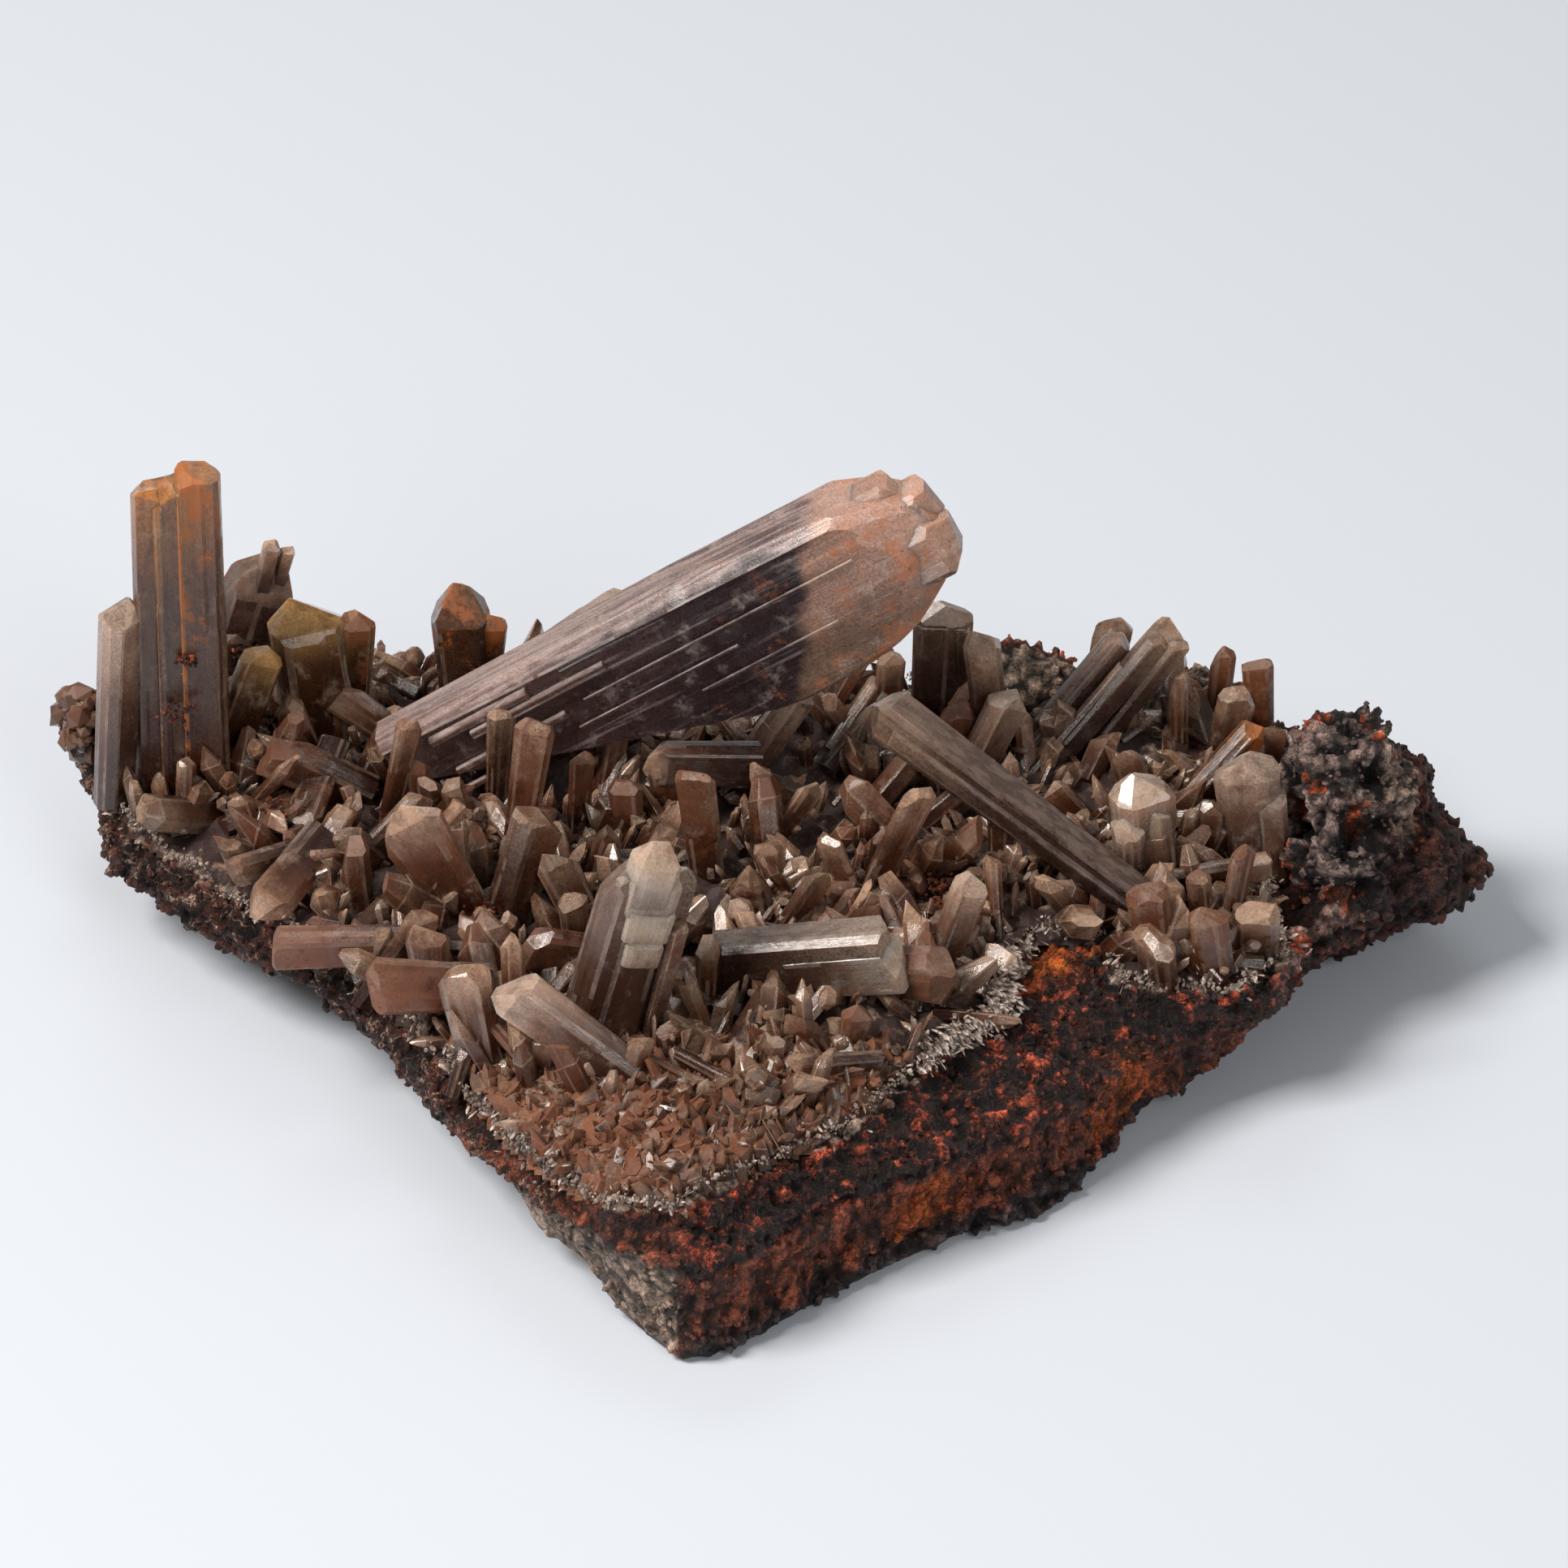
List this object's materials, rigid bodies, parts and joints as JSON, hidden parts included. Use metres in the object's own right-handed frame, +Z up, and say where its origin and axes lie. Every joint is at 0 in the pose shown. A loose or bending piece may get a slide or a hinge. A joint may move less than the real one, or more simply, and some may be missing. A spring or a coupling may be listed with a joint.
{
  "type": "hemimorphite crystal specimen",
  "caption": "Wedge of brown limonite carrying a crust of smoky striated hemimorphite crystals, with one tall upright and one long leaning crystal.",
  "frame": {"origin": "centre of the underside: the middle of the bounding box in plan, at the level the specimen rests on", "axes": "+X along the specimen's length, from the end with the tall upright crystal to the end with the bare limonite; +Y from its front corner to its back; +Z up"},
  "size_m": [0.1024, 0.0708, 0.0384],
  "materials": {
    "limonite": "rough, earthy, porous, with rust-red and ochre patches",
    "druse": "sparkling crystal crust, rust-stained",
    "crystal_rosy": "glassy with lengthwise striae, rust-freckled pale end, smoky body",
    "crystal_smoky": "glassy, smoky grey-brown, striated",
    "crystal_amber": "glassy, striated, amber to rust-stained",
    "crystal_pale": "glassy, pale beige-grey, partly frosted"
  },
  "bodies": {
    "root": {"matrix": "limonite", "druse": "druse", "great_crystal": "crystal_rosy", "rear_companion_crystal": "crystal_smoky", "pillar_crystal": "crystal_amber", "pillar_companion_crystal": "crystal_smoky", "leaning_crystal": "crystal_smoky", "gemmy_crystal": "crystal_amber", "slender_crystal": "crystal_pale", "rusty_crystal": "crystal_amber", "white_capped_crystal": "crystal_pale", "crossing_crystal": "crystal_smoky", "blade_crystal": "crystal_smoky", "slim_crystal": "crystal_pale", "striated_bundle_crystal": "crystal_smoky", "oblique_crystal": "crystal_pale", "orange_crystal": "crystal_amber", "egg_crystal": "crystal_pale", "broad_pale_crystal": "crystal_pale", "ledge_crystal": "crystal_smoky", "upright_pale_crystal": "crystal_pale", "front_left_crystal": "crystal_pale", "bullet_crystal": "crystal_smoky", "knob_ended_crystal": "crystal_pale"}
  },
  "joints": []
}
